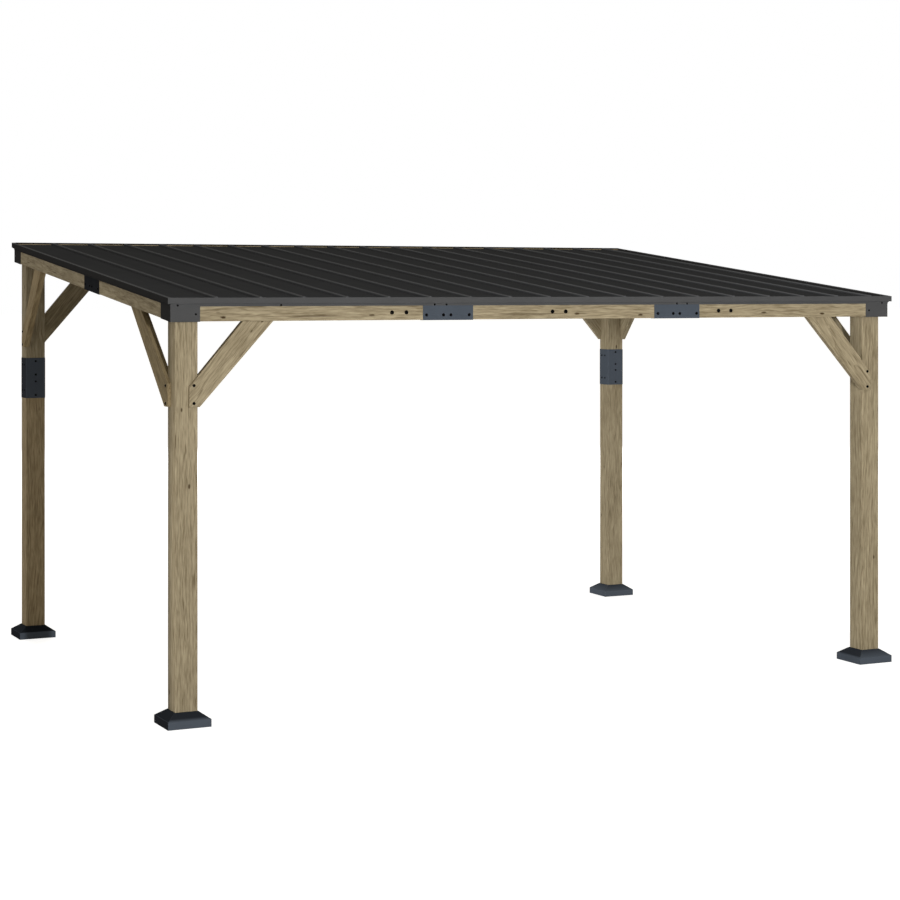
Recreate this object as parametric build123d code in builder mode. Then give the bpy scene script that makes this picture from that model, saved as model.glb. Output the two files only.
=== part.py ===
import os
from math import cos, radians, sin, tan

from build123d import *

# A lean-to gazebo: four timber posts, a ring of beams on their outside faces,
# eight half-lapped knee braces, three rafters in steel stirrups and a roof of
# interlocking metal panels that rises from the front eave to the back.
# Millimetres, +Z up. X runs along the eave, the front looks towards -Y, and
# the origin lies on the ground in the middle of the outline.

# Overall sizes
frame_width = 4163.0
frame_depth = 2980.0
front_clear_height = 1956.0
roof_pitch = 6.0

# Timber sections
post_side = 114.0
post_edge_radius = 3.0
beam_thickness = 34.0
beam_height = 107.0
rafter_thickness = 38.0
rafter_height = 88.0
brace_lap_thickness = 17.0
board_edge_chamfer = 1.0

# Joints along the beams, measured from the middle of the frame
front_splice_left = -641.0
front_splice_right = 723.0
side_splice = -168.0
beam_end_gap = 2.0

# Rafters, measured from the middle of the frame
rafter_places = {"left": -914.0, "middle": 3.0, "right": 1027.0}

# Knee braces: drop from the beam to the foot, then the slopes of the two edges and
# the height of the upper edge above the foot, where the brace leaves the post
front_brace_drop = 414.0
back_brace_drop = 515.0
front_brace = {"lower_angle": 47.5, "upper_angle": 49.2, "width_at_post": 154.0}
back_brace = {"lower_angle": 48.6, "upper_angle": 49.7, "width_at_post": 162.0}
low_side_brace = {"lower_angle": 41.5, "upper_angle": 39.5, "width_at_post": 153.0}
high_side_brace = {"lower_angle": 48.4, "upper_angle": 52.5, "width_at_post": 129.0}
brace_toe = 5.0
brace_post_lap = 48.0
brace_beam_lap = 80.0
brace_top_gap = 0.3

# Sheet steel fittings
plate_thickness = 2.0
splice_plate_length = 283.0
bracket_leg = 150.0
sleeve_drop = 68.0
sleeve_height = 243.0
sleeve_clearance = 0.2
stirrup_ear = 42.0
stirrup_height = 70.0
stirrup_depth = 60.0
rafter_end_clearance = 0.5

# Covers round the post feet
cover_side = 219.0
cover_band_height = 38.0
cover_height = 72.0
cover_wall = 2.5
cover_clearance = 0.4

# Roof panels with interlocking trapezoidal seams
panel_thickness = 1.2
seam_height = 12.5
seam_top_half = 4.0
seam_side_angle = 60.0
seam_clearance = 0.4
seam_pitch = 228.0
first_seam_inset = 246.0
last_seam_inset = 60.0
panel_end_gap = 1.0
panel_seat_gap = 0.2

# Edge trims round the roof
trim_thickness = 2.0
trim_top = 8.5
trim_reach = 16.5
trim_face_drop = 21.0
trim_drop = 34.0
fascia_step_drop = 1.5
rake_step_drop = 7.0
rake_hem_angle = 45.0
trim_clearance = 0.3

# Sizes that follow from the ones above
rise = tan(radians(roof_pitch))
fitting_reach = beam_thickness + plate_thickness
cover_overhang = (cover_side - post_side) / 2
front_reach = max(fitting_reach + trim_reach, cover_overhang)
back_reach = max(fitting_reach, cover_overhang)
outline_shift = (front_reach - back_reach) / 2
post_right_x = frame_width / 2
post_front_y = -frame_depth / 2 + outline_shift
post_back_y = frame_depth / 2 + outline_shift
beam_front_y = post_front_y - beam_thickness
beam_back_y = post_back_y + beam_thickness
beam_right_x = post_right_x + beam_thickness
trim_front_y = post_front_y - fitting_reach - trim_reach
trim_right_x = post_right_x + fitting_reach + trim_reach
seam_slant = radians(seam_side_angle)
seam_base_half = seam_top_half + seam_height / tan(seam_slant)
cut_height = 2 * beam_height

os.makedirs("parts", exist_ok=True)


# Heights that follow the slope of the roof
def soffit(y):
    """Underside of the beams at the place y."""
    return front_clear_height + rise * (y - beam_front_y)


def roof_seat(y):
    """Top of the beams and rafters, which carries the panels."""
    return soffit(y) + beam_height


def pan_top(y):
    """Top of the flat of the roof panels."""
    return roof_seat(y) + panel_seat_gap + panel_thickness / cos(radians(roof_pitch))


back_beam_top = pan_top(post_back_y) + seam_height
front_brace_foot = front_clear_height - front_brace_drop
back_brace_foot = soffit(beam_back_y) - back_brace_drop
sleeve_bottom = back_brace_foot - sleeve_drop - sleeve_height

slope_direction = Vector(0, cos(radians(roof_pitch)), sin(radians(roof_pitch)))


def save(part, name):
    """Label the finished piece and write it to its own file."""
    part.label = name
    export_step(part, f"parts/{name}.step")


def outline(plane, points):
    """A flat face whose corners are the points, on the plane."""
    with BuildSketch(plane) as face:
        with BuildLine():
            Polyline(*points, close=True)
        make_face()
    return face.sketch


def sheet_outline(plane, points, thickness, side):
    """The section of a bent sheet whose outer line runs through the points."""
    with BuildSketch(plane) as face:
        with BuildLine():
            Polyline(*points)
            offset(amount=thickness, side=side)
        make_face()
    return face.sketch


# Posts
def make_post(name, x_side, y_side, bottom, top):
    x = x_side * (post_right_x - post_side / 2)
    y = (post_front_y + post_side / 2) if y_side < 0 else (post_back_y - post_side / 2)
    with BuildPart() as post:
        with BuildSketch(Plane.XY.offset(bottom)):
            with Locations((x, y)):
                RectangleRounded(post_side, post_side, post_edge_radius)
        extrude(amount=top - bottom)
    save(post.part, name)


post_joint = sleeve_bottom + sleeve_height / 2
front_post_top = roof_seat(post_front_y)
back_post_top = roof_seat(post_back_y - post_side)
side_names = {-1: "left", 1: "right"}

for x_side, side_name in side_names.items():
    make_post(f"post_front_{side_name}", x_side, -1, 0, front_post_top)
    make_post(f"post_back_{side_name}_lower", x_side, 1, 0, post_joint)
    make_post(f"post_back_{side_name}_upper", x_side, 1, post_joint, back_post_top)


# Steel sleeves round the joints in the back posts
for x_side, side_name in side_names.items():
    inner_side = post_side + 2 * sleeve_clearance
    outer_side = inner_side + 2 * plate_thickness
    with BuildPart() as sleeve:
        with BuildSketch(Plane.XY.offset(sleeve_bottom)):
            with Locations((x_side * (post_right_x - post_side / 2), post_back_y - post_side / 2)):
                RectangleRounded(outer_side, outer_side, post_edge_radius + plate_thickness)
                RectangleRounded(inner_side, inner_side, post_edge_radius, mode=Mode.SUBTRACT)
        extrude(amount=sleeve_height)
    save(sleeve.part, f"post_sleeve_{side_name}")


# Flared covers round the post feet: a square band below a skirt that narrows to the post
def cover_block(inset):
    """Band and skirt of a cover as one solid, drawn in by the inset on its four sides."""
    half = cover_side / 2 - inset
    neck = post_side / 2 + cover_clearance + cover_wall - inset
    side_view = [
        (-half, 0), (half, 0), (half, cover_band_height), (neck, cover_height),
        (-neck, cover_height), (-half, cover_band_height),
    ]
    with BuildPart() as block:
        extrude(outline(Plane.XZ, side_view), amount=half, both=True)
        extrude(outline(Plane.YZ, side_view), amount=half, both=True, mode=Mode.INTERSECT)
    return block.part


with BuildPart() as base_cover:
    add(cover_block(0))
    add(cover_block(cover_wall), mode=Mode.SUBTRACT)

for y_name, y in (("front", post_front_y + post_side / 2), ("back", post_back_y - post_side / 2)):
    for x_side, side_name in side_names.items():
        x = x_side * (post_right_x - post_side / 2)
        with BuildPart() as placed_cover:
            with Locations((x, y, 0)):
                add(base_cover.part)
        save(placed_cover.part, f"base_cover_{y_name}_{side_name}")


# Beams along the front and the back, in three lengths each
def make_cross_beam(name, x_from, x_to, outer_y, inner_y, outer_top, inner_top):
    bottom = soffit(outer_y)
    section = [(outer_y, bottom), (inner_y, bottom), (inner_y, inner_top), (outer_y, outer_top)]
    with BuildPart() as beam:
        extrude(outline(Plane.YZ.offset(x_from), section), amount=x_to - x_from)
        chamfer(beam.edges(), board_edge_chamfer)
    save(beam.part, name)


cross_beam_spans = {
    "left": (-beam_right_x, front_splice_left - beam_end_gap / 2),
    "middle": (front_splice_left + beam_end_gap / 2, front_splice_right - beam_end_gap / 2),
    "right": (front_splice_right + beam_end_gap / 2, beam_right_x),
}
for span_name, (x_from, x_to) in cross_beam_spans.items():
    make_cross_beam(
        f"beam_front_{span_name}", x_from, x_to, beam_front_y, post_front_y,
        roof_seat(beam_front_y), roof_seat(post_front_y),
    )
    make_cross_beam(
        f"beam_back_{span_name}", x_from, x_to, beam_back_y, post_back_y,
        back_beam_top, back_beam_top,
    )


# Beams along the sides, which rise with the roof, in two lengths each
def sloped_board(x, y_from, y_to, below, above):
    """Side view of a board whose edges keep two distances from the soffit line."""
    corners = [
        (y_from, soffit(y_from) + below), (y_to, soffit(y_to) + below),
        (y_to, soffit(y_to) + above), (y_from, soffit(y_from) + above),
    ]
    return outline(Plane.YZ.offset(x), corners)


side_beam_spans = {
    "front": (post_front_y, side_splice - beam_end_gap / 2),
    "back": (side_splice + beam_end_gap / 2, post_back_y),
}
for x_side, side_name in side_names.items():
    for span_name, (y_from, y_to) in side_beam_spans.items():
        side_view = sloped_board(x_side * post_right_x, y_from, y_to, 0, beam_height)
        with BuildPart() as side_beam:
            extrude(side_view, amount=x_side * beam_thickness)
            chamfer(side_beam.edges(), board_edge_chamfer)
        save(side_beam.part, f"beam_{side_name}_{span_name}")


# Splice plates: a face plate with a flange bent under the beam
def angle_section(x, outer_y, outward, top):
    """Section of a plate on the beam's face and underside, at the place x."""
    bottom = soffit(outer_y)
    face_y = outer_y + outward * plate_thickness
    inner_y = outer_y - outward * beam_thickness
    corners = [
        (face_y, bottom - plate_thickness), (inner_y, bottom - plate_thickness),
        (inner_y, bottom), (outer_y, bottom), (outer_y, top), (face_y, top),
    ]
    return outline(Plane.YZ.offset(x), corners)


def make_cross_plate(name, middle, outer_y, outward, top):
    section = angle_section(middle - splice_plate_length / 2, outer_y, outward, top)
    with BuildPart() as plate:
        extrude(section, amount=splice_plate_length)
    save(plate.part, name)


for side_name, middle in (("left", front_splice_left), ("right", front_splice_right)):
    make_cross_plate(
        f"splice_plate_front_{side_name}", middle, beam_front_y, -1,
        roof_seat(beam_front_y) - plate_thickness,
    )
    make_cross_plate(
        f"splice_plate_back_{side_name}", middle, beam_back_y, 1, back_beam_top
    )

for x_side, side_name in side_names.items():
    y_from = side_splice - splice_plate_length / 2
    y_to = side_splice + splice_plate_length / 2
    face_view = sloped_board(
        x_side * beam_right_x, y_from, y_to, -plate_thickness, beam_height - plate_thickness
    )
    flange_view = sloped_board(x_side * post_right_x, y_from, y_to, -plate_thickness, 0)
    with BuildPart() as side_plate:
        extrude(face_view, amount=x_side * plate_thickness)
        extrude(flange_view, amount=x_side * beam_thickness)
    save(side_plate.part, f"splice_plate_{side_name}")


# Corner brackets: two legs with flanges bent under both beams
def make_corner_bracket(name, x_side, y_side):
    outer_y = beam_front_y if y_side < 0 else beam_back_y
    inner_y = outer_y - y_side * beam_thickness
    leg_y = outer_y - y_side * (bracket_leg - plate_thickness)
    top = roof_seat(outer_y) - plate_thickness if y_side < 0 else back_beam_top
    face_x = x_side * (beam_right_x + plate_thickness)
    leg_x = face_x - x_side * bracket_leg
    cross_section = angle_section(leg_x, outer_y, y_side, top)
    side_leg = sloped_board(
        x_side * beam_right_x, leg_y, outer_y, -plate_thickness, beam_height - plate_thickness
    )
    side_flange = sloped_board(x_side * post_right_x, leg_y, inner_y, -plate_thickness, 0)
    with BuildPart() as bracket:
        extrude(cross_section, amount=face_x - leg_x)
        extrude(side_leg, amount=x_side * plate_thickness)
        extrude(side_flange, amount=x_side * beam_thickness)
    save(bracket.part, name)


for x_side, side_name in side_names.items():
    make_corner_bracket(f"corner_bracket_front_{side_name}", x_side, -1)
    make_corner_bracket(f"corner_bracket_back_{side_name}", x_side, 1)


# Knee braces, half-lapped over the post and behind the beam
def edge_meets(level, slope, height_at_post, edge_slope):
    """Distance from the post where an edge reaches the line level + slope * a."""
    return (level - height_at_post) / (edge_slope - slope)


def make_brace(name, plane, along, outward, foot, shape, level, slope):
    """level and slope give the beam's underside from the post into the bay."""
    low_slope = tan(radians(shape["lower_angle"]))
    high_slope = tan(radians(shape["upper_angle"]))
    low_at_post = foot - brace_toe * low_slope
    high_at_post = foot + shape["width_at_post"]
    high_at_lap = high_at_post - brace_post_lap * high_slope
    under = level - brace_top_gap
    tip = level + brace_beam_lap
    outer_low = edge_meets(under, slope, low_at_post, low_slope)
    outer_high = edge_meets(under, slope, high_at_post, high_slope)
    inner_low = edge_meets(tip, slope, low_at_post, low_slope)
    inner_high = edge_meets(tip, slope, high_at_post, high_slope)
    outer_points = [
        (-brace_post_lap, foot), (brace_toe, foot), (outer_low, under + slope * outer_low),
        (outer_high, under + slope * outer_high), (-brace_post_lap, high_at_lap),
    ]
    inner_points = [
        (0, foot), (brace_toe, foot), (inner_low, tip + slope * inner_low),
        (inner_high, tip + slope * inner_high), (0, high_at_post),
    ]
    outer_face = outline(plane, [(along * a, z) for a, z in outer_points])
    inner_face = outline(plane, [(along * a, z) for a, z in inner_points])
    with BuildPart() as brace:
        extrude(outer_face, amount=outward * brace_lap_thickness)
        extrude(inner_face, amount=-outward * brace_lap_thickness)
        broad_faces = brace.faces().sort_by(Axis(plane.origin, plane.z_dir))
        chamfer(broad_faces[0].edges() + broad_faces[-1].edges(), board_edge_chamfer)
    save(brace.part, name)


for x_side, side_name in side_names.items():
    inner_x = x_side * (post_right_x - post_side)
    make_brace(
        f"brace_front_{side_name}",
        Plane((inner_x, post_front_y, 0), x_dir=(1, 0, 0), z_dir=(0, -1, 0)),
        -x_side, 1, front_brace_foot, front_brace, soffit(beam_front_y), 0,
    )
    make_brace(
        f"brace_back_{side_name}",
        Plane((inner_x, post_back_y, 0), x_dir=(1, 0, 0), z_dir=(0, -1, 0)),
        -x_side, -1, back_brace_foot, back_brace, soffit(beam_back_y), 0,
    )
    low_y = post_front_y + post_side
    make_brace(
        f"brace_{side_name}_front",
        Plane((x_side * post_right_x, low_y, 0), x_dir=(0, 1, 0), z_dir=(1, 0, 0)),
        1, x_side, front_brace_foot, low_side_brace, soffit(low_y), rise,
    )
    high_y = post_back_y - post_side
    make_brace(
        f"brace_{side_name}_back",
        Plane((x_side * post_right_x, high_y, 0), x_dir=(0, 1, 0), z_dir=(1, 0, 0)),
        -1, x_side, back_brace_foot, high_side_brace, soffit(high_y), -rise,
    )


# Rafters under the panels and the steel stirrups that carry their ends
rafter_end_gap = plate_thickness + rafter_end_clearance
for place_name, x in rafter_places.items():
    side_view = sloped_board(
        x - rafter_thickness / 2, post_front_y + rafter_end_gap, post_back_y - rafter_end_gap,
        beam_height - rafter_height, beam_height,
    )
    with BuildPart() as rafter:
        extrude(side_view, amount=rafter_thickness)
        chamfer(rafter.edges(), board_edge_chamfer)
    save(rafter.part, f"rafter_{place_name}")


for y_name, face_y, into in (("front", post_front_y, 1), ("back", post_back_y, -1)):
    seat = soffit(face_y) + beam_height - rafter_height - plate_thickness
    brim = seat + stirrup_height
    inner_half = rafter_thickness / 2
    outer_half = inner_half + plate_thickness
    cradle_points = [
        (-outer_half, seat), (outer_half, seat), (outer_half, brim), (inner_half, brim),
        (inner_half, seat + plate_thickness), (-inner_half, seat + plate_thickness),
        (-inner_half, brim), (-outer_half, brim),
    ]
    with BuildPart() as stirrups:
        for x in rafter_places.values():
            beam_face = Plane((x, face_y, 0), x_dir=(1, 0, 0), z_dir=(0, -1, 0))
            extrude(outline(beam_face, cradle_points), amount=stirrup_depth, dir=slope_direction * into)
            for side in side_names:
                ear_points = [
                    (side * inner_half, seat), (side * (outer_half + stirrup_ear), seat),
                    (side * (outer_half + stirrup_ear), brim), (side * inner_half, brim),
                ]
                extrude(outline(beam_face, ear_points), amount=-into * plate_thickness)
    save(stirrups.part, f"rafter_stirrups_{y_name}")


# Roof panels: each covers the rib of the one before and ends in a rib of its own
panel_front_y = trim_front_y + trim_thickness + panel_end_gap
panel_length = (post_back_y - panel_end_gap - panel_front_y) / cos(radians(roof_pitch))
panel_plane = Plane(
    (0, panel_front_y, pan_top(panel_front_y)), x_dir=(1, 0, 0), z_dir=-slope_direction
)
edge_x = trim_right_x - trim_thickness - panel_end_gap
first_seam = -trim_right_x + first_seam_inset
seam_count = int((trim_right_x - last_seam_inset - first_seam) / seam_pitch) + 1
seam_places = [first_seam + i * seam_pitch for i in range(seam_count)]
nesting = panel_thickness + seam_clearance
hem_lift = panel_thickness * cos(seam_slant) + seam_clearance
inner_top_half = seam_top_half - nesting * tan(seam_slant / 2)
inner_height = seam_height - nesting
inner_run = inner_height / tan(seam_slant)


def panel_points(left_seam, right_seam):
    """Top line of one panel, from its left edge to its right edge."""
    if left_seam is None:
        points = [(-edge_x, 0)]
    else:
        points = [
            (left_seam - seam_base_half + hem_lift / tan(seam_slant), hem_lift),
            (left_seam - seam_top_half, seam_height), (left_seam + seam_top_half, seam_height),
            (left_seam + seam_base_half, 0),
        ]
    if right_seam is None:
        points += [(edge_x, 0)]
    else:
        points += [
            (right_seam - inner_top_half - inner_run, 0),
            (right_seam - inner_top_half, inner_height),
            (right_seam + inner_top_half, inner_height),
            (right_seam + inner_top_half + inner_run / 2, inner_height / 2),
        ]
    return points


with BuildPart() as roof_panels:
    for left_seam, right_seam in zip([None] + seam_places, seam_places + [None]):
        section = sheet_outline(
            panel_plane, panel_points(left_seam, right_seam), panel_thickness, Side.RIGHT
        )
        extrude(section, amount=-panel_length)
save(roof_panels.part, "roof_panels")


# Edge trims: a face with a step back to a flange on the beam
def trim_face_points(step_drop):
    """Points from the face's top edge down to the foot of the flange."""
    flange = trim_thickness + trim_clearance - trim_reach
    return [
        (0, trim_top), (0, -trim_face_drop), (flange, -trim_face_drop - step_drop),
        (flange, -trim_drop),
    ]


fascia_plane = Plane(
    (-trim_right_x, trim_front_y, pan_top(trim_front_y)), x_dir=(0, -1, 0), z_dir=(-1, 0, 0)
)
fascia_section = sheet_outline(
    fascia_plane, trim_face_points(fascia_step_drop), trim_thickness, Side.RIGHT
)
lip_end_x = beam_right_x + plate_thickness
with BuildPart() as fascia:
    extrude(fascia_section, amount=-2 * trim_right_x)
    for x_side in side_names:
        with BuildSketch(Plane.XY.offset(front_clear_height)):
            with Locations((x_side * lip_end_x, trim_front_y + trim_thickness)):
                Rectangle(
                    trim_reach, fitting_reach,
                    align=(Align.MIN if x_side > 0 else Align.MAX, Align.MIN),
                )
        extrude(amount=cut_height, mode=Mode.SUBTRACT)
save(fascia.part, "fascia_front")

rake_front_y = trim_front_y + trim_thickness + trim_clearance
rake_length = (beam_back_y + plate_thickness - rake_front_y) / cos(radians(roof_pitch))
hem_slant = radians(rake_hem_angle)
rake_hem_lift = trim_thickness * cos(hem_slant) + trim_clearance
rake_hem_run = (trim_top - rake_hem_lift) / tan(hem_slant)
rake_points = [
    (-trim_reach - rake_hem_run, rake_hem_lift), (-trim_reach, trim_top),
] + trim_face_points(rake_step_drop)
lip_front_y = beam_front_y - plate_thickness - trim_clearance
lip_cut_top = pan_top(trim_front_y) - trim_face_drop + 2 * trim_thickness
for x_side, side_name in side_names.items():
    origin = (x_side * trim_right_x, rake_front_y, pan_top(rake_front_y))
    section = sheet_outline(
        Plane(origin, x_dir=(1, 0, 0), z_dir=(0, -1, 0)),
        [(x_side * out, up) for out, up in rake_points],
        trim_thickness, Side.RIGHT if x_side > 0 else Side.LEFT,
    )
    with BuildPart() as rake_trim:
        extrude(section, amount=rake_length, dir=slope_direction)
        with BuildSketch(Plane.XY.offset(soffit(post_back_y))):
            with Locations((x_side * (lip_end_x + trim_clearance), post_back_y - trim_clearance)):
                Rectangle(
                    2 * trim_reach, 2 * fitting_reach,
                    align=(Align.MAX if x_side > 0 else Align.MIN, Align.MIN),
                )
        extrude(amount=cut_height, mode=Mode.SUBTRACT)
        with BuildSketch(Plane.XY.offset(front_clear_height)):
            with Locations((x_side * (trim_right_x - trim_thickness), lip_front_y)):
                Rectangle(
                    trim_reach, fitting_reach,
                    align=(Align.MAX if x_side > 0 else Align.MIN, Align.MAX),
                )
        extrude(amount=lip_cut_top - front_clear_height, mode=Mode.SUBTRACT)
    save(rake_trim.part, f"rake_trim_{side_name}")
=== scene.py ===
import math

import bpy
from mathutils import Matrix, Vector


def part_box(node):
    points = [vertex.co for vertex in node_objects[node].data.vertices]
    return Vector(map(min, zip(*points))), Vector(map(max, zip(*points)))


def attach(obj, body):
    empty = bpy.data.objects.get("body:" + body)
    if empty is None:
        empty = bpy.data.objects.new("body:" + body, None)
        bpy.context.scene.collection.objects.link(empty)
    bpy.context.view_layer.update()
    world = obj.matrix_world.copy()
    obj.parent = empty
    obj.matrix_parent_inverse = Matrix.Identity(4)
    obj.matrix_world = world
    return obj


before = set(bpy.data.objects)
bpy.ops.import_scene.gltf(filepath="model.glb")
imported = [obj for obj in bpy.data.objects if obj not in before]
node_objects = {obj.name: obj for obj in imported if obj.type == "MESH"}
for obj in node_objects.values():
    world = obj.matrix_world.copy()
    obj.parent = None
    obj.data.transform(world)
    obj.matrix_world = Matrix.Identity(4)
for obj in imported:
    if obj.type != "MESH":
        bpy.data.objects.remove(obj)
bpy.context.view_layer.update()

X_AXIS = Vector((1, 0, 0))
Z_AXIS = Vector((0, 0, 1))
FRONT = (0, -1, 0)
BACK = (0, 1, 0)
LEFT = (-1, 0, 0)
RIGHT = (1, 0, 0)

# Colours, written as linear light
WOOD_LIGHT = (0.416, 0.351, 0.232)
WOOD_DARK = (0.188, 0.149, 0.088)
WOOD_KNOT = (0.050, 0.030, 0.014)
WOOD_CHECK = (0.085, 0.058, 0.028)
WOOD_TOP_SHADE = (0.006, 0.005, 0.004)
TRIM_GREY = (0.0765, 0.0775, 0.0795)
TRIM_SIDE_SHADE = (0.042, 0.042, 0.043)
SLATE = (0.066, 0.079, 0.098)
SLATE_SIDE_PLATE_SHADE = (0.024, 0.026, 0.030)
SLATE_SHADED = (0.034, 0.040, 0.050)
SLATE_SIDE_SHADE = (0.028, 0.031, 0.038)
SLEEVE_SIDE_SHADE = (0.044, 0.049, 0.060)
SLATE_PALE = (0.074, 0.088, 0.109)
ROOF_BLACK = (0.064, 0.067, 0.072)
ROOF_CREST_HIGHLIGHT = (0.140, 0.145, 0.154)
RAKE_TRIM_SHADE = (0.038, 0.038, 0.039)
BOLT_BLACK = (0.003, 0.003, 0.003)
FLOOR_GREY = (0.82, 0.82, 0.82)
AMBIENT_COLOUR = (1.0, 0.935, 0.83)


def low_of(name):
    """The low corner of a piece's box."""
    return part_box(name)[0]


def high_of(name):
    """The high corner of a piece's box."""
    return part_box(name)[1]


def times(colour, factor):
    """A colour made lighter or darker by a factor."""
    return tuple(factor * c for c in colour)


# Node helpers
def add_node(tree, kind, values=None, **settings):
    """A new node, with its settings and the values of its inputs."""
    node = tree.nodes.new(kind)
    for name, value in settings.items():
        setattr(node, name, value)
    for key, value in (values or {}).items():
        node.inputs[key].default_value = value
    return node


def math_node(tree, operation, a, b=None):
    """A Math node between two sockets or numbers, and its output."""
    node = add_node(tree, "ShaderNodeMath", operation=operation)
    for socket, value in zip(node.inputs, (a, b)):
        if isinstance(value, (int, float)):
            socket.default_value = value
        elif value is not None:
            tree.links.new(value, socket)
    return node.outputs[0]


def vector_math(tree, operation, vector, by=None):
    """A Vector Math node on a vector, and its output."""
    values = {} if by is None else {1: by}
    node = add_node(tree, "ShaderNodeVectorMath", values, operation=operation)
    tree.links.new(vector, node.inputs[0])
    return node.outputs["Value" if operation in ("LENGTH", "DOT_PRODUCT") else "Vector"]


def map_range(tree, value, start, end, low=0.0, high=1.0):
    """A value that goes from low to high while the given one goes from start to end."""
    ends = {"From Min": start, "From Max": end, "To Min": low, "To Max": high}
    node = add_node(tree, "ShaderNodeMapRange", ends)
    tree.links.new(value, node.inputs["Value"])
    return node.outputs["Result"]


def axes(tree, vector):
    """The X, Y and Z of a vector."""
    node = add_node(tree, "ShaderNodeSeparateXYZ")
    tree.links.new(vector, node.inputs[0])
    return node.outputs


def object_place(tree):
    """The place on the object, from the tree's one Texture Coordinate node."""
    found = [node for node in tree.nodes if node.type == "TEX_COORD"]
    node = found[0] if found else add_node(tree, "ShaderNodeTexCoord")
    return node.outputs["Object"]


def stretched_noise(tree, place, stretch, scale, detail):
    """Noise on a place that is multiplied by the stretch."""
    noise = add_node(tree, "ShaderNodeTexNoise", {"Scale": scale, "Detail": detail})
    tree.links.new(vector_math(tree, "MULTIPLY", place, stretch), noise.inputs["Vector"])
    return noise.outputs["Fac"]


def ramp(tree, factor, stops):
    """Colours along a factor. stops are pairs of place and linear colour."""
    node = add_node(tree, "ShaderNodeValToRGB")
    elements = node.color_ramp.elements
    while len(elements) < len(stops):
        elements.new(0.5)
    for element, (place, colour) in zip(elements, stops):
        element.position = place
        element.color = (*colour, 1)
    tree.links.new(factor, node.inputs[0])
    return node.outputs["Color"]


def mix_colours(tree, factor, first, second, blend="MIX"):
    """Mix of two colours, each a socket or a linear colour."""
    node = add_node(tree, "ShaderNodeMix", data_type="RGBA", blend_type=blend)
    tree.links.new(factor, node.inputs["Factor"])
    for name, value in (("A", first), ("B", second)):
        socket = next(s for s in node.inputs if s.name == name and s.type == "RGBA")
        if isinstance(value, tuple):
            socket.default_value = (*value, 1)
        else:
            tree.links.new(value, socket)
    return next(s for s in node.outputs if s.type == "RGBA")


def start_material(name, roughness, specular):
    """A material with one Principled shader, whose even values are set on its sockets."""
    material = bpy.data.materials.new(name)
    material.use_nodes = True
    tree = material.node_tree
    shader = tree.nodes["Principled BSDF"]
    shader.inputs["Roughness"].default_value = roughness
    shader.inputs["Specular IOR Level"].default_value = specular
    return material, tree, shader


def add_bump(tree, shader, height, strength, distance):
    """Relief on the shader from a height."""
    node = add_node(tree, "ShaderNodeBump", {"Strength": strength, "Distance": distance})
    tree.links.new(height, node.inputs["Height"])
    tree.links.new(node.outputs["Normal"], shader.inputs["Normal"])


def blend_in(tree, factor, colour, blend="MIX"):
    """Blends a colour into the base colour that the tree's shader has so far."""
    target = tree.nodes["Principled BSDF"].inputs["Base Color"]
    base = target.links[0].from_socket
    tree.links.new(mix_colours(tree, factor, base, colour, blend), target)


# Timber. Here and below, lengths are in metres
RINGS_PER_METRE = 74.0
RING_SWAY = 0.11
RING_RIPPLE = 0.024
LATE_WOOD_SHARPNESS = 2.4
GRAIN_RIPPLE = 0.015
TONE_WEIGHTS = {"late wood": 0.24, "fibres": 0.90, "streaks": 1.15, "clouds": 0.42}
TONE_OFFSET = 0.855


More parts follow.
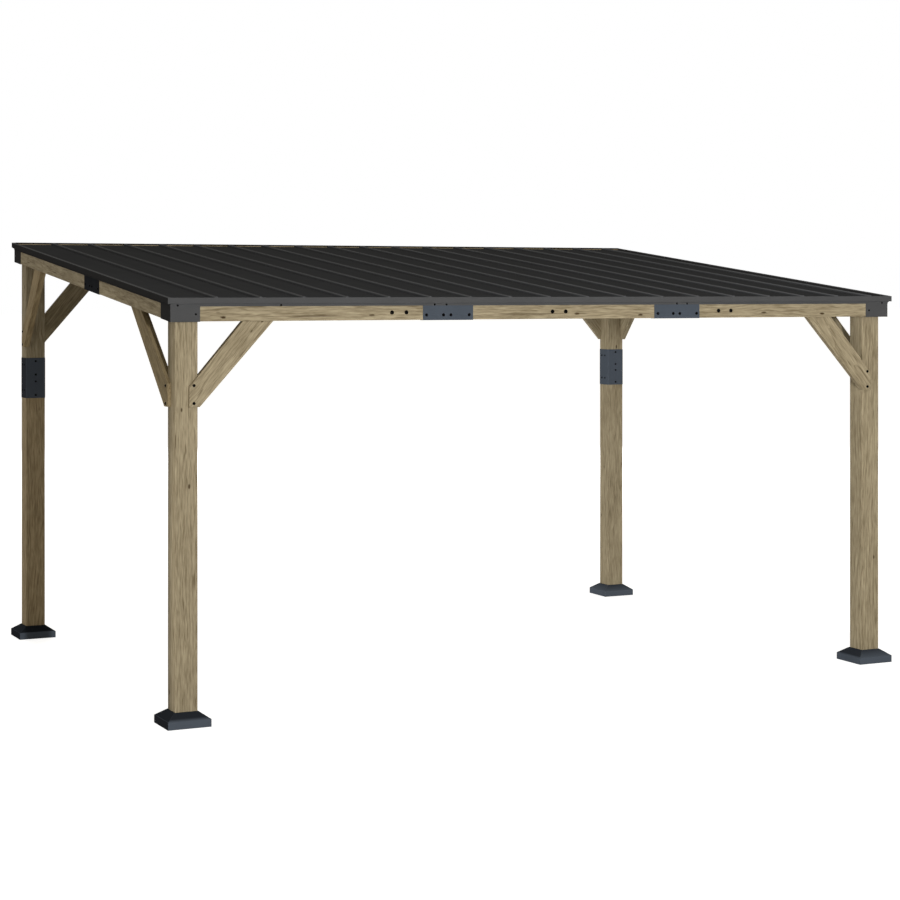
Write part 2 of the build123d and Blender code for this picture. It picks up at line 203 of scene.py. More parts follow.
def timber_finish(name):
    """Oiled softwood with its grain along the X of the node called Grain frame."""
    material, tree, shader = start_material(name, 0.66, 0.05)
    grain_frame = add_node(tree, "ShaderNodeMapping", name="Grain frame")
    tree.links.new(object_place(tree), grain_frame.inputs["Vector"])
    place = grain_frame.outputs["Vector"]

    # Year rings round the pith, which sways along the board
    sway = stretched_noise(tree, place, (1.3, 4.5, 4.5), 1.0, 1.0)
    ripple = stretched_noise(tree, place, (6.0, 16.0, 16.0), 1.0, 2.0)
    apart = axes(tree, place)
    squares = [math_node(tree, "MULTIPLY", apart[axis], apart[axis]) for axis in ("Y", "Z")]
    radius = math_node(tree, "SQRT", math_node(tree, "ADD", *squares))
    wander = math_node(tree, "ADD", math_node(tree, "MULTIPLY", sway, RING_SWAY), radius)
    wander = math_node(tree, "ADD", math_node(tree, "MULTIPLY", ripple, RING_RIPPLE), wander)
    rings = math_node(tree, "FRACT", math_node(tree, "MULTIPLY", wander, RINGS_PER_METRE))
    late_wood = math_node(tree, "POWER", rings, LATE_WOOD_SHARPNESS)

    # Fibres and streaks along a slightly rippled grain
    bend = add_node(tree, "ShaderNodeCombineXYZ")
    tree.links.new(apart["X"], bend.inputs["X"])
    shift = math_node(tree, "MULTIPLY", ripple, GRAIN_RIPPLE)
    for axis in ("Y", "Z"):
        tree.links.new(math_node(tree, "ADD", apart[axis], shift), bend.inputs[axis])
    bent_place = bend.outputs[0]
    fibres = stretched_noise(tree, bent_place, (20.0, 280.0, 280.0), 1.0, 2.0)
    streaks = stretched_noise(tree, bent_place, (8.5, 88.0, 88.0), 1.0, 2.0)
    clouds = stretched_noise(tree, place, (2.2, 9.0, 9.0), 1.0, 1.0)

    parts = {"late wood": late_wood, "fibres": fibres, "streaks": streaks, "clouds": clouds}
    tone = -TONE_OFFSET
    for label, weight in TONE_WEIGHTS.items():
        tone = math_node(tree, "ADD", math_node(tree, "MULTIPLY", parts[label], weight), tone)
    colour = ramp(tree, tone, ((0.10, WOOD_LIGHT), (0.86, WOOD_DARK)))
    colour.node.name = "Wood tones"
    tree.links.new(colour, shader.inputs["Base Color"])

    # Drying checks and knots
    splits = stretched_noise(tree, bent_place, (6.5, 120.0, 120.0), 1.0, 1.0)
    blend_in(tree, map_range(tree, splits, 0.64, 0.75, 0.0, 0.62), WOOD_CHECK)
    knots = add_node(tree, "ShaderNodeTexVoronoi", {"Scale": 1.0})
    tree.links.new(vector_math(tree, "MULTIPLY", place, (5.0, 11.0, 11.0)), knots.inputs["Vector"])
    blend_in(tree, map_range(tree, knots.outputs["Distance"], 0.075, 0.045, 0.0, 0.85), WOOD_KNOT)

    relief = math_node(tree, "ADD", fibres, math_node(tree, "MULTIPLY", late_wood, 0.5))
    add_bump(tree, shader, relief, 0.35, 0.0006)
    return material


RAFTERS = ("rafter_left", "rafter_middle", "rafter_right")

# Painted light and shade: boards made lighter, darker or browner than the others, to the light and
# shade on them
TIMBER_LIGHT_AND_SHADE = {
    "brace_left_front": (0.77, 0.72, 0.62),
    "brace_left_back": (0.98, 0.90, 0.77),
    "brace_back_left": (0.82, 0.80, 0.76),
    "post_back_left_lower": (1.13, 1.05, 0.95),
}


def paint(material, *names):
    """Gives the named nodes a material."""
    for name in names:
        mesh = node_objects[name].data
        mesh.materials.clear()
        mesh.materials.append(material)


def names_with(*starts):
    """The names of the nodes that start in one of these ways, in order."""
    return [name for name in sorted(node_objects) if name.startswith(starts)]


def paint_timber(base, name, grain, seed):
    """Gives a timber its own copy of the finish, with the grain along its length."""
    material = base.copy()
    material.name = "timber_" + name
    # The board's painted light and shade, as a tint of its wood tones
    tint = TIMBER_LIGHT_AND_SHADE.get(name, (1, 1, 1))
    for element in material.node_tree.nodes["Wood tones"].color_ramp.elements:
        element.color = (*(share * c for share, c in zip(tint, element.color)), 1)
    grain_frame = material.node_tree.nodes["Grain frame"]
    turn = Vector(grain).rotation_difference(X_AXIS)
    middle = turn @ ((low_of(name) + high_of(name)) / 2)
    # Each board is cut at another place along and beside the pith
    pith = Vector((0.37 * seed, 0.055 + 0.021 * (seed % 5), 0.045 + 0.017 * (seed % 7)))
    grain_frame.inputs["Rotation"].default_value = turn.to_euler()
    grain_frame.inputs["Location"].default_value = pith - middle
    paint(material, name)


# The side beams and the roof rise to the back in this direction
roof_direction = low_of("beam_left_back") - low_of("beam_left_front")
roof_direction.normalize()

# How much of a brace's box its slanting ends take up, sideways and upwards
BRACE_END_RUN = 0.17
BRACE_END_RISE = 0.10


def brace_direction(name):
    """Direction of a brace, from its foot on the post up to the beam."""
    low, high = low_of(name), high_of(name)
    size = high - low
    rise = size.z - BRACE_END_RISE
    if size.x > size.y:
        run = math.copysign(size.x - BRACE_END_RUN, -low.x)
        return Vector((run, 0, rise)).normalized()
    run = math.copysign(size.y - BRACE_END_RUN, 1 if "front" in name else -1)
    return Vector((0, run, rise)).normalized()


timbers = {}
for name in node_objects:
    if name.startswith("post_") and not name.startswith("post_sleeve"):
        timbers[name] = Z_AXIS
    elif name.startswith(("beam_front", "beam_back")):
        timbers[name] = X_AXIS
    elif name.startswith(("beam_left", "beam_right")) or name in RAFTERS:
        timbers[name] = roof_direction
    elif name.startswith("brace_"):
        timbers[name] = brace_direction(name)
timber_base = timber_finish("timber")
for seed, name in enumerate(sorted(timbers), start=1):
    paint_timber(timber_base, name, timbers[name], seed)
bpy.data.materials.remove(timber_base)

# Painted shade on the top edges of the back beams, above the roof, from this far below the top
TOP_SHADE_START = 0.0092
TOP_SHADE_FULL = 0.0072
for name in names_with("beam_back"):
    tree = node_objects[name].data.materials[0].node_tree
    top = high_of(name).z
    height = axes(tree, object_place(tree))["Z"]
    blend_in(tree, map_range(tree, height, top - TOP_SHADE_START, top - TOP_SHADE_FULL), WOOD_TOP_SHADE)


# Knots and long dark streaks of the front beam: x, z, half length, half height, strength
FRONT_MARKS = (
    (-1.8489, 1.9750, 0.0120, 0.0050, 1.00), (-1.8760, 1.9994, 0.0090, 0.0034, 0.35),
    (-1.0635, 1.9822, 0.0130, 0.0042, 0.80), (0.1096, 1.9823, 0.0130, 0.0042, 0.90),
    (0.4975, 1.9748, 0.0125, 0.0046, 0.95), (1.2818, 1.9830, 0.0130, 0.0042, 0.90),
    (1.6693, 1.9743, 0.0125, 0.0048, 1.00), (-1.3813, 1.9790, 0.1000, 0.0048, 0.55),
    (-0.1693, 1.9827, 0.1500, 0.0046, 0.45),
)
# How far the noise frays a mark's edge, and the frayed sizes where a mark starts and is full
MARK_FRAY = 1.2
MARK_START = 2.1
MARK_FULL = 1.4


def add_mark(tree, x, z, half_length, half_height, strength):
    """An oval dark mark that runs through a board, with a ragged edge."""
    offset = vector_math(tree, "SUBTRACT", object_place(tree), (x, 0, z))
    shape = (1 / half_length, 0, 1 / half_height)
    distance = vector_math(tree, "LENGTH", vector_math(tree, "MULTIPLY", offset, shape))
    ragged = stretched_noise(tree, object_place(tree), (40.0, 220.0, 220.0), 1.0, 2.0)
    edge = math_node(tree, "ADD", distance, math_node(tree, "MULTIPLY", ragged, MARK_FRAY))
    blend_in(tree, map_range(tree, edge, MARK_START, MARK_FULL, 0.0, strength), WOOD_KNOT)


for name in names_with("beam_front"):
    tree = node_objects[name].data.materials[0].node_tree
    for mark in FRONT_MARKS:
        if low_of(name).x < mark[0] < high_of(name).x:
            add_mark(tree, *mark)


# Painted light and shade on the left sides of posts: share of a side over which the painted tone
# changes, and how deep inside the side it starts and is full
SHADE_REACH = 0.6
SIDE_START = 0.0012
SIDE_FULL = 0.0004


def shade_left_side(name, back_tone, front_tone):
    """Paints shade and light on the left side of a post, from its darker back edge to past its
    middle.
    """
    tree = node_objects[name].data.materials[0].node_tree
    apart = axes(tree, object_place(tree))
    low, high = low_of(name), high_of(name)
    past_middle = high.y - SHADE_REACH * (high.y - low.y)
    shade = map_range(tree, apart["Y"], high.y, past_middle, back_tone, front_tone)
    on_side = map_range(tree, apart["X"], low.x + SIDE_START, low.x + SIDE_FULL)
    blend_in(tree, on_side, shade, "MULTIPLY")


shade_left_side("post_front_left", 0.52, 1.40)
shade_left_side("post_front_right", 0.98, 1.10)


# Painted sheet metal
def painted_metal(name, colour, roughness, specular, mottle=0.10, streak=0.0, streak_along=None):
    """Powder-coated sheet: a faintly mottled colour and the paint's fine orange peel."""
    material, tree, shader = start_material(name, roughness, specular)
    place = object_place(tree)
    clouds = stretched_noise(tree, place, (1, 1, 1), 7.0, 2.0)
    grit = stretched_noise(tree, place, (1, 1, 1), 260.0, 1.0)
    waves = [(clouds, mottle), (grit, 0.6 * mottle)]
    if streak:
        waves.append((stretched_noise(tree, place, streak_along, 1.0, 2.0), streak))
    tone = 0.5
    for noise, depth in waves:
        wave = math_node(tree, "MULTIPLY", math_node(tree, "SUBTRACT", noise, 0.5), depth)
        tone = math_node(tree, "ADD", tone, wave)
    colours = ramp(tree, tone, ((0.0, times(colour, 0.0)), (1.0, times(colour, 2.0))))
    tree.links.new(colours, shader.inputs["Base Color"])
    add_bump(tree, shader, grit, 0.12, 0.0002)
    return material


def shade_outer_faces(material, name, start, full, colour):
    """Paints shade, in another colour, on the faces that look left or right at a piece's outer X.
    """
    tree = material.node_tree
    outer = high_of(name).x
    distance = math_node(tree, "ABSOLUTE", axes(tree, object_place(tree))["X"])
    blend_in(tree, map_range(tree, distance, outer - start, outer - full), colour)


def highlight_crests(material, name, start, full, colour):
    """Paints a highlight, in another colour, on the topmost part of a piece, square to the roof's
    slope.
    """
    tree = material.node_tree
    normal = X_AXIS.cross(roof_direction)
    high = high_of(name)
    top = normal.dot(Vector((0, high.y, high.z)))
    above = vector_math(tree, "DOT_PRODUCT", object_place(tree), normal)
    blend_in(tree, map_range(tree, above, top - start, top - full), colour)


paint(painted_metal("trim_paint", TRIM_GREY, 0.55, 0.02), "fascia_front")

bracket_paint = painted_metal("bracket_paint", TRIM_GREY, 0.55, 0.0)
# Painted shade on the brackets' outer side faces
shade_outer_faces(bracket_paint, "corner_bracket_front_right", 0.0006, 0.0002, TRIM_SIDE_SHADE)
paint(bracket_paint, *names_with("corner_bracket"))

slate_names = names_with("splice_plate_front", "splice_plate_back", "rafter_stirrups")
paint(painted_metal("slate_paint", SLATE, 0.50, 0.03), *slate_names)
# Painted shade: the side splice plates have the slate paint darkened to the shade on the sides
shaded_slate_paint = painted_metal("shaded_slate_paint", SLATE_SIDE_PLATE_SHADE, 0.50, 0.0)
paint(shaded_slate_paint, "splice_plate_left", "splice_plate_right")

sleeve_paint = painted_metal("sleeve_slate", SLATE_PALE, 0.50, 0.0)
# Painted shade on the sleeves' outer side faces
shade_outer_faces(sleeve_paint, "post_sleeve_right", 0.0006, 0.0002, SLEEVE_SIDE_SHADE)
paint(sleeve_paint, *names_with("post_sleeve"))

roof_paint = painted_metal(
    "roof_paint", ROOF_BLACK, 0.62, 0.0, mottle=0.08, streak=0.10, streak_along=(30.0, 0.8, 0.8)
)
# Painted highlight along the crests of the roof's seams
highlight_crests(roof_paint, "roof_panels", 0.0055, 0.0035, ROOF_CREST_HIGHLIGHT)
paint(roof_paint, "roof_panels")

# Painted shade: the rake trims have the trim paint darkened to the shade on their sides
shaded_rake_paint = painted_metal("shaded_rake_paint", RAKE_TRIM_SHADE, 0.60, 0.0)
# Painted highlight along the rake trims' top edge
highlight_crests(shaded_rake_paint, "rake_trim_left", 0.0030, 0.0012, ROOF_CREST_HIGHLIGHT)
paint(shaded_rake_paint, "rake_trim_left", "rake_trim_right")


# Foot covers, with painted light and shade: how much lighter or darker the band, the skirt's front
# and the skirt's sides are painted beside their plain paint, and how far above the band the
# skirt's front and its sides reach their painted tone
COVER_LIGHT_AND_SHADE = {
    "base_cover_front_left": (1.13, 0.66, 0.76, 0.011, 0.002),
    "base_cover_front_right": (1.06, 1.10, 0.88, 0.030, 0.006),
    "base_cover_back_left": (1.20, 0.56, 0.95, 0.004, 0.002),
    "base_cover_back_right": (1.24, 1.35, 1.75, 0.030, 0.030),
}
BAND_TOP = 0.038
BAND_EDGE = 0.0005  # the skirt's tone starts this far above the band
RIDGE_HALF = 0.002  # half the width over which the front's tone turns into the side's


def shade_skirt(material, name, front, side):
    """Paints light and shade on the skirt above a cover's band. front and side are each a colour
    and a height.
    """
    tree = material.node_tree
    place = object_place(tree)
    middle = (low_of(name) + high_of(name)) / 2
    apart = axes(tree, vector_math(tree, "SUBTRACT", place, middle))
    across, along = (math_node(tree, "ABSOLUTE", apart[axis]) for axis in ("X", "Y"))
    lead = math_node(tree, "SUBTRACT", along, across)
    height = axes(tree, place)["Z"]
    for (tone, soft), ridge in ((front, RIDGE_HALF), (side, -RIDGE_HALF)):
        facing = map_range(tree, lead, -ridge, ridge)
        rise = map_range(tree, height, BAND_TOP + BAND_EDGE, BAND_TOP + soft)
        blend_in(tree, math_node(tree, "MULTIPLY", facing, rise), tone)


for name, (band, front, side, front_soft, side_soft) in COVER_LIGHT_AND_SHADE.items():
    cover_paint = painted_metal(name + "_paint", times(SLATE_PALE, band), 0.48, 0.0)
    # Painted shade on the covers' outer side faces
    shade_outer_faces(cover_paint, "base_cover_front_right", 0.0010, 0.0004, SLATE_SIDE_SHADE)
    front_skirt = (times(SLATE_SHADED, front), front_soft)
    side_skirt = (times(SLATE_SHADED, side), side_soft)
    # Painted light and shade on the skirt's front and sides
    shade_skirt(cover_paint, name, front_skirt, side_skirt)
    paint(cover_paint, name)


# Bolts and screws, as instances on points
WASHER_CORNERS = 24
HEAD_CORNERS = 20
SOCKET_CORNERS = 6
CROWN_SHARE = 0.62  # the head's top radius beside its bottom one
SOCKET_LIFT = 1.05  # height of the middle of the socket's cut, in head heights
SPIN_SEED = 7
SEAT_REACH = 0.4  # how far outside its place a bolt starts on its way to a face


def bolt_tree():
    """Round heads on washers with a hexagon socket, one at each point."""
    tree = bpy.data.node_groups.new("bolt_heads", "GeometryNodeTree")
    face = tree.interface
    face.new_socket("Points", in_out="INPUT", socket_type="NodeSocketGeometry")
    sizes = ("Washer radius", "Washer thickness", "Head radius", "Head height", "Socket radius")
    for label in sizes:
        face.new_socket(label, in_out="INPUT", socket_type="NodeSocketFloat")
    seed = face.new_socket("Seed", in_out="INPUT", socket_type="NodeSocketInt")
    seed.default_value = SPIN_SEED
    face.new_socket("Finish", in_out="INPUT", socket_type="NodeSocketMaterial")
    face.new_socket("Bolts", in_out="OUTPUT", socket_type="NodeSocketGeometry")
    given = add_node(tree, "NodeGroupInput").outputs

    def lift(geometry, height):
        """The geometry, moved up."""
        up = add_node(tree, "ShaderNodeCombineXYZ")
        tree.links.new(height, up.inputs["Z"])
        moved = add_node(tree, "GeometryNodeTransform")
        tree.links.new(geometry, moved.inputs["Geometry"])
        tree.links.new(up.outputs[0], moved.inputs["Translation"])
        return moved.outputs[0]

    half_washer = math_node(tree, "MULTIPLY", given["Washer thickness"], 0.5)
    washer = add_node(tree, "GeometryNodeMeshCylinder", {"Vertices": WASHER_CORNERS})
    tree.links.new(given["Washer radius"], washer.inputs["Radius"])
    tree.links.new(given["Washer thickness"], washer.inputs["Depth"])

    head = add_node(tree, "GeometryNodeMeshCone", {"Vertices": HEAD_CORNERS})
    crown_radius = math_node(tree, "MULTIPLY", given["Head radius"], CROWN_SHARE)
    tree.links.new(crown_radius, head.inputs["Radius Top"])
    tree.links.new(given["Head radius"], head.inputs["Radius Bottom"])
    tree.links.new(given["Head height"], head.inputs["Depth"])

    socket_cut = add_node(tree, "GeometryNodeMeshCylinder", {"Vertices": SOCKET_CORNERS})
    tree.links.new(given["Socket radius"], socket_cut.inputs["Radius"])
    tree.links.new(given["Head height"], socket_cut.inputs["Depth"])
    cut_height = math_node(tree, "MULTIPLY", given["Head height"], SOCKET_LIFT)
    hollow = add_node(tree, "GeometryNodeMeshBoolean", operation="DIFFERENCE")
    tree.links.new(head.outputs["Mesh"], hollow.inputs["Mesh 1"])
    tree.links.new(lift(socket_cut.outputs["Mesh"], cut_height), hollow.inputs["Mesh 2"])

    bolt = add_node(tree, "GeometryNodeJoinGeometry")
    tree.links.new(lift(washer.outputs["Mesh"], half_washer), bolt.inputs[0])
    tree.links.new(lift(hollow.outputs["Mesh"], given["Washer thickness"]), bolt.inputs[0])

    facing = add_node(
        tree, "GeometryNodeInputNamedAttribute", {"Name": "facing"}, data_type="FLOAT_VECTOR"
    )
    aligned = add_node(tree, "FunctionNodeAlignRotationToVector", axis="Z")
    tree.links.new(facing.outputs["Attribute"], aligned.inputs["Vector"])
    turn = add_node(tree, "FunctionNodeRandomValue", data_type="FLOAT")
    for socket in turn.inputs:
        if socket.name == "Max" and socket.type == "VALUE":
            socket.default_value = 2 * math.pi
    tree.links.new(given["Seed"], turn.inputs["Seed"])
    spin = add_node(tree, "FunctionNodeAxisAngleToRotation", {"Axis": (0, 0, 1)})
    tree.links.new(turn.outputs[1], spin.inputs["Angle"])
    turned = add_node(tree, "FunctionNodeRotateRotation", rotation_space="LOCAL")
    tree.links.new(aligned.outputs[0], turned.inputs["Rotation"])
    tree.links.new(spin.outputs[0], turned.inputs["Rotate By"])

    placed = add_node(tree, "GeometryNodeInstanceOnPoints")
    tree.links.new(given["Points"], placed.inputs["Points"])
    tree.links.new(bolt.outputs[0], placed.inputs["Instance"])
    tree.links.new(turned.outputs[0], placed.inputs["Rotation"])
    real = add_node(tree, "GeometryNodeRealizeInstances")
    tree.links.new(placed.outputs[0], real.inputs[0])
    finish = add_node(tree, "GeometryNodeSetMaterial")
    tree.links.new(real.outputs[0], finish.inputs["Geometry"])
    tree.links.new(given["Finish"], finish.inputs["Material"])
    done = add_node(tree, "NodeGroupOutput")
    tree.links.new(finish.outputs[0], done.inputs[0])
    return tree


bolt_heads = bolt_tree()
bolt_paint = painted_metal("bolt_black", BOLT_BLACK, 0.42, 0.01)


def seat(point, facing):
    """Moves a place onto the first face of the frame that is met from outside."""
    outward = Vector(facing)
    start = Vector(point) + outward * SEAT_REACH
    hits = []
    for node in node_objects.values():
        back = node.matrix_world.inverted()
        found, hit = node.ray_cast(back @ start, back.to_3x3() @ -outward)[:2]
        if found:
            place = node.matrix_world @ hit
            hits.append(((place - start).length, tuple(place)))
    return min(hits)[1], facing


def make_bolts(name, places, **sizes):
    """One mesh with a bolt at each place. A place is a point and the way that it faces."""
    places = [seat(point, facing) for point, facing in places]
    mesh = bpy.data.meshes.new(name + "_points")
    mesh.from_pydata([point for point, facing in places], [], [])
    facing_values = [value for point, facing in places for value in facing]
    attribute = mesh.attributes.new("facing", "FLOAT_VECTOR", "POINT")
    attribute.data.foreach_set("vector", facing_values)
    points = bpy.data.objects.new(name + "_points", mesh)
    bpy.context.scene.collection.objects.link(points)
    modifier = points.modifiers.new("bolts", "NODES")
    modifier.node_group = bolt_heads
    labels = {item.name: item.identifier for item in bolt_heads.interface.items_tree}
    modifier[labels["Finish"]] = bolt_paint
    for label, value in sizes.items():
        modifier[labels[label.replace("_", " ").capitalize()]] = value
    bpy.context.view_layer.update()
    evaluated = points.evaluated_get(bpy.context.evaluated_depsgraph_get())
    solid = bpy.data.meshes.new_from_object(evaluated)
    bpy.data.objects.remove(points)
    piece = bpy.data.objects.new(name, solid)
    bpy.context.scene.collection.objects.link(piece)
    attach(piece, "root")


# Places of the bolts: the faces come from the frame, the heights and offsets are in metres
FRONT_PLATE_Y = low_of("splice_plate_front_left").y
FRONT_BOARD_Y = low_of("beam_front_left").y
BACK_PLATE_Y = high_of("splice_plate_back_left").y
BACK_BOARD_Y = high_of("beam_back_left").y
BACK_LIFT = low_of("beam_back_left").z - low_of("beam_front_left").z

# Front and back splice plates, then the side ones, whose bolts follow the slope
PLATE_BOLTS = ((-0.641, (-0.122, -0.027, 0.015, 0.119)), (0.723, (-0.120, -0.024, 0.017, 0.123)))
PLATE_BOLT_Z = 1.9805
SIDE_PLATE_BOLT_Y = (-0.131, -0.177, -0.290, -0.046)
SIDE_PLATE_BOLT_UP = 0.026
plate_bolts = []
for middle, offsets in PLATE_BOLTS:
    for offset in offsets:
        plate_bolts.append(((middle + offset, FRONT_PLATE_Y, PLATE_BOLT_Z), FRONT))
        plate_bolts.append(((middle + offset, BACK_PLATE_Y, PLATE_BOLT_Z + BACK_LIFT), BACK))
side_plate_x = high_of("splice_plate_right").x
side_beam = low_of("beam_left_front")
for y in SIDE_PLATE_BOLT_Y:
    rise = (y - side_beam.y) * roof_direction.z / roof_direction.y
    height = side_beam.z + SIDE_PLATE_BOLT_UP + rise
    plate_bolts.append(((-side_plate_x, y, height), LEFT))
    plate_bolts.append(((side_plate_x, y, height), RIGHT))
make_bolts(
    "plate_bolts", plate_bolts, washer_radius=0.0080, washer_thickness=0.0012,
    head_radius=0.0066, head_height=0.0035, socket_radius=0.0026,
)

RAFTER_BOLT_X = (-0.9538, -0.8742, -0.0366, 0.0419, 0.9881, 1.0667)
RAFTER_BOLT_Z = 1.9945
rafter_bolts = []
for x in RAFTER_BOLT_X:
    rafter_bolts.append(((x, FRONT_BOARD_Y, RAFTER_BOLT_Z), FRONT))
    rafter_bolts.append(((x, BACK_BOARD_Y, RAFTER_BOLT_Z + BACK_LIFT), BACK))
make_bolts(
    "rafter_bolts", rafter_bolts, washer_radius=0.0105, washer_thickness=0.0015,
    head_radius=0.0070, head_height=0.0045, socket_radius=0.0032,
)

# Feet of the braces, on two faces of each post
BRACE_BOLT_INSET = 0.0895
FRONT_BRACE_BOLT_UP = (0.018, 0.1045)
BACK_BRACE_BOLT_UP = (0.013, 0.0913)
SIDE_BRACE_SHIFT_Y = 0.007
SIDE_BRACE_SHIFT_Z = -0.003
front_foot = low_of("brace_front_left").z
back_foot = low_of("brace_back_left").z
front_brace_y = low_of("brace_front_left").y
back_brace_y = high_of("brace_back_left").y
side_brace_x = high_of("brace_right_front").x
front_bolt_x = high_of("post_front_right").x - BRACE_BOLT_INSET
front_bolt_y = low_of("post_front_left").y + BRACE_BOLT_INSET + SIDE_BRACE_SHIFT_Y
back_bolt_y = high_of("post_back_left_lower").y - BRACE_BOLT_INSET
brace_bolts = []
for side in (-1, 1):
    outward = (side, 0, 0)
    for up in FRONT_BRACE_BOLT_UP:
        height = front_foot + up
        brace_bolts.append(((side * front_bolt_x, front_brace_y, height), FRONT))
        side_place = (side * side_brace_x, front_bolt_y, height + SIDE_BRACE_SHIFT_Z)
        brace_bolts.append((side_place, outward))
    for up in BACK_BRACE_BOLT_UP:
        height = back_foot + up
        brace_bolts.append(((side * front_bolt_x, back_brace_y, height), BACK))
        brace_bolts.append(((side * side_brace_x, back_bolt_y, height), outward))
make_bolts(
    "brace_bolts", brace_bolts, washer_radius=0.0078, washer_thickness=0.0012,
    head_radius=0.0064, head_height=0.0035, socket_radius=0.0026,
)

SLEEVE_FACE_BOLT_UP = (0.0183, 0.1002, 0.1417, 0.2233)
SLEEVE_SIDE_BOLT_UP = (0.0465, 0.2010)
SLEEVE_SIDE_BOLT_Y = (1.4162, 1.4578)
sleeve_low, sleeve_high = low_of("post_sleeve_right"), high_of("post_sleeve_right")
sleeve_bolts = []
for side in (-1, 1):
    outer_x = side * sleeve_high.x
    inner_x = side * sleeve_low.x
    middle_x = (outer_x + inner_x) / 2
    for up in SLEEVE_FACE_BOLT_UP:
        height = sleeve_low.z + up
        sleeve_bolts.append(((middle_x, sleeve_low.y, height), FRONT))
        sleeve_bolts.append(((middle_x, sleeve_high.y, height), BACK))
    for up in SLEEVE_SIDE_BOLT_UP:
        height = sleeve_low.z + up
        for y in SLEEVE_SIDE_BOLT_Y:
            sleeve_bolts.append(((outer_x, y, height), (side, 0, 0)))
            sleeve_bolts.append(((inner_x, y, height), (-side, 0, 0)))
make_bolts(
    "sleeve_bolts", sleeve_bolts, washer_radius=0.0062, washer_thickness=0.001,
    head_radius=0.0052, head_height=0.003, socket_radius=0.0022,
)

# Screws through the front trim's flange and the corner brackets
TRIM_SCREW_X = (-2.081, -1.551, -0.718, -0.6516, 0.7206, 0.7849, 2.077)
TRIM_SCREW_Z = 2.0335
BRACKET_SCREW_INSET = 0.1285
BRACKET_SCREW_Z = 1.991
trim_screws = [((x, FRONT_PLATE_Y, TRIM_SCREW_Z), FRONT) for x in TRIM_SCREW_X]
bracket_screw_x = high_of("corner_bracket_front_right").x - BRACKET_SCREW_INSET
for x in (-bracket_screw_x, bracket_screw_x):
    trim_screws.append(((x, FRONT_PLATE_Y, BRACKET_SCREW_Z), FRONT))
    trim_screws.append(((x, BACK_PLATE_Y, BRACKET_SCREW_Z + BACK_LIFT), BACK))
make_bolts(
    "trim_screws", trim_screws, washer_radius=0.0052, washer_thickness=0.0006,
    head_radius=0.0045, head_height=0.0018, socket_radius=0.0015,
)

# Floor, light and camera
FLOOR_HALF = 150.0
FLOOR_GLOW = 0.80
AMBIENT = 0.31
SPOT_SOURCE = 0.3
CAMERA_PLACE = (-5.2479, -11.1572, 2.1212)
CAMERA_TURN = 0.4470
CAMERA_LENS = 83.794
CAMERA_SENSOR = 36.0
CAMERA_SHIFT = -0.18084
CAMERA_REACH = 400.0


def seen_directly(tree):
    """1 for the rays of the camera, of mirrors and of glass, and 0 for all others."""
    path = add_node(tree, "ShaderNodeLightPath").outputs
    seen = math_node(tree, "MAXIMUM", path["Is Camera Ray"], path["Is Glossy Ray"])
    return math_node(tree, "MAXIMUM", seen, path["Is Transmission Ray"])


floor_mesh = bpy.data.meshes.new("studio_floor")
floor_signs = ((-1, -1), (1, -1), (1, 1), (-1, 1))
floor_corners = [(x * FLOOR_HALF, y * FLOOR_HALF, 0) for x, y in floor_signs]
floor_mesh.from_pydata(floor_corners, [], [(0, 1, 2, 3)])
floor = bpy.data.objects.new("studio_floor", floor_mesh)
bpy.context.scene.collection.objects.link(floor)
floor_paint, floor_tree, floor_shader = start_material("studio_floor", 0.9, 0.0)
floor_shader.inputs["Base Color"].default_value = (*FLOOR_GREY, 1)
floor_glow = add_node(floor_tree, "ShaderNodeEmission")
floor_sum = add_node(floor_tree, "ShaderNodeAddShader")
floor_surface = floor_tree.nodes["Material Output"].inputs["Surface"]
glow_strength = math_node(floor_tree, "MULTIPLY", seen_directly(floor_tree), FLOOR_GLOW)
floor_tree.links.new(glow_strength, floor_glow.inputs["Strength"])
floor_tree.links.new(floor_shader.outputs[0], floor_sum.inputs[0])
floor_tree.links.new(floor_glow.outputs[0], floor_sum.inputs[1])
floor_tree.links.new(floor_sum.outputs[0], floor_surface)
floor_mesh.materials.append(floor_paint)

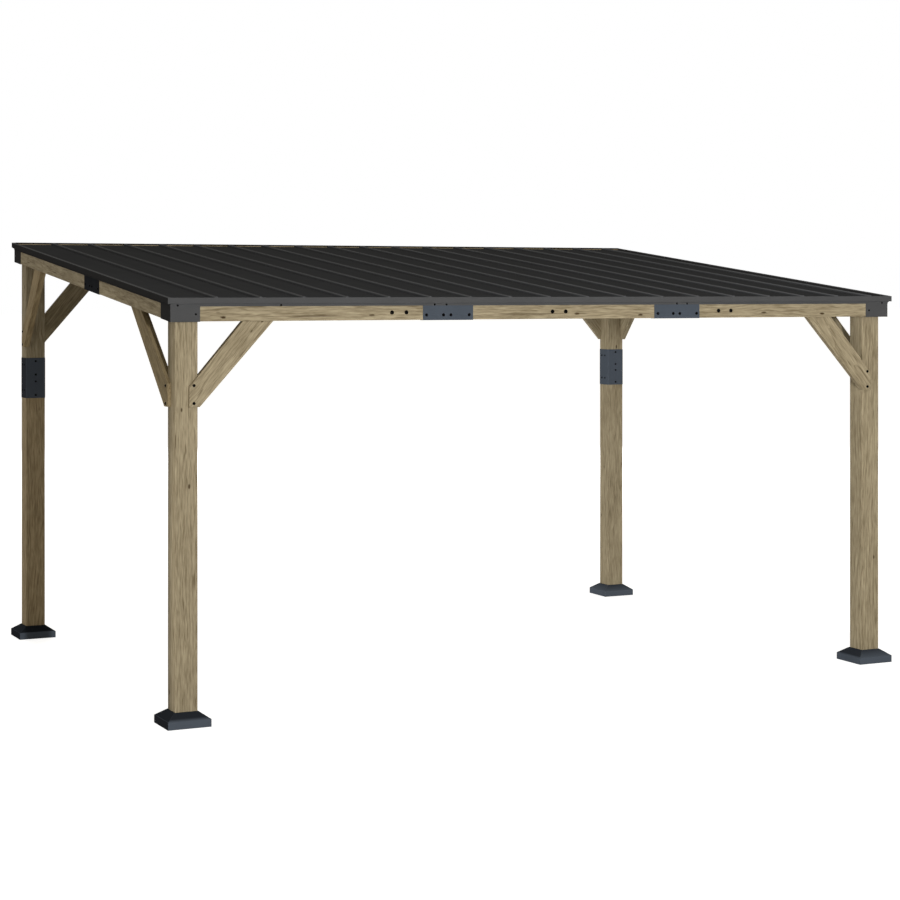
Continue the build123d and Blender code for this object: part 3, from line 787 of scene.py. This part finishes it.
# The world is white where it is seen, and lights the object softly
world = bpy.data.worlds.new("studio")
bpy.context.scene.world = world
world.use_nodes = True
world_tree = world.node_tree
ambient = world_tree.nodes["Background"]
ambient.inputs["Color"].default_value = (*AMBIENT_COLOUR, 1)
ambient.inputs["Strength"].default_value = AMBIENT
white = {"Color": (1, 1, 1, 1), "Strength": 1.0}
backdrop = add_node(world_tree, "ShaderNodeBackground", white)
world_mix = add_node(world_tree, "ShaderNodeMixShader")
world_tree.links.new(seen_directly(world_tree), world_mix.inputs["Fac"])
world_tree.links.new(ambient.outputs[0], world_mix.inputs[1])
world_tree.links.new(backdrop.outputs[0], world_mix.inputs[2])
world_tree.links.new(world_mix.outputs[0], world_tree.nodes["World Output"].inputs["Surface"])


def hang_lamp(light, place, aim):
    """Puts a light at a place, turned towards the aim."""
    lamp = bpy.data.objects.new(light.name, light)
    lamp.location = place
    lamp.rotation_euler = (Vector(aim) - Vector(place)).to_track_quat("-Z", "Y").to_euler()
    bpy.context.scene.collection.objects.link(lamp)


def add_lamp(name, place, aim, width, height, power):
    """A soft area lamp."""
    light = bpy.data.lights.new(name, "AREA")
    light.shape = "RECTANGLE"
    light.size = width
    light.size_y = height
    light.energy = power
    hang_lamp(light, place, aim)


def add_spot(name, place, aim, cone, blend, power):
    """A narrow spot, whose cone is in degrees."""
    light = bpy.data.lights.new(name, "SPOT")
    light.spot_size = math.radians(cone)
    light.spot_blend = blend
    light.shadow_soft_size = SPOT_SOURCE
    light.energy = power
    hang_lamp(light, place, aim)


# The key lamp stands in line with the two left posts, so that it skims their left faces
add_lamp("key_lamp", (-2.03, -9.5, 2.45), (2.97, -4.5, 2.1), 0.12, 0.6, 550)
add_spot("left_post_spot", (-12.0, -1.433, 0.8), (-2.08, -1.433, 0.8), 8.0, 0.2, 760)
add_spot("right_front_spot", (-12.0, -7.0, 1.6), (2.2, -1.2, 1.0), 9.0, 0.3, 1150)
add_spot("right_back_spot", (-12.0, -4.5, 0.9), (2.0, 1.43, 1.10), 9.4, 0.15, 3500)
add_lamp("left_lamp", (-20.0, -1.0, 2.2), (0, 0, 1.2), 3.0, 3.0, 290)
add_lamp("back_lamp", (6.0, 14.0, 3.3), (0, 0, 1.2), 5.0, 1.6, 850)

camera_data = bpy.data.cameras.new("camera")
camera_data.sensor_width = CAMERA_SENSOR
camera_data.lens = CAMERA_LENS
camera_data.shift_y = CAMERA_SHIFT
camera_data.clip_end = CAMERA_REACH
camera = bpy.data.objects.new("camera", camera_data)
camera.location = CAMERA_PLACE
camera.rotation_euler = (math.pi / 2, 0, -CAMERA_TURN)
bpy.context.scene.collection.objects.link(camera)
bpy.context.scene.camera = camera
bpy.context.scene.view_settings.view_transform = "Standard"
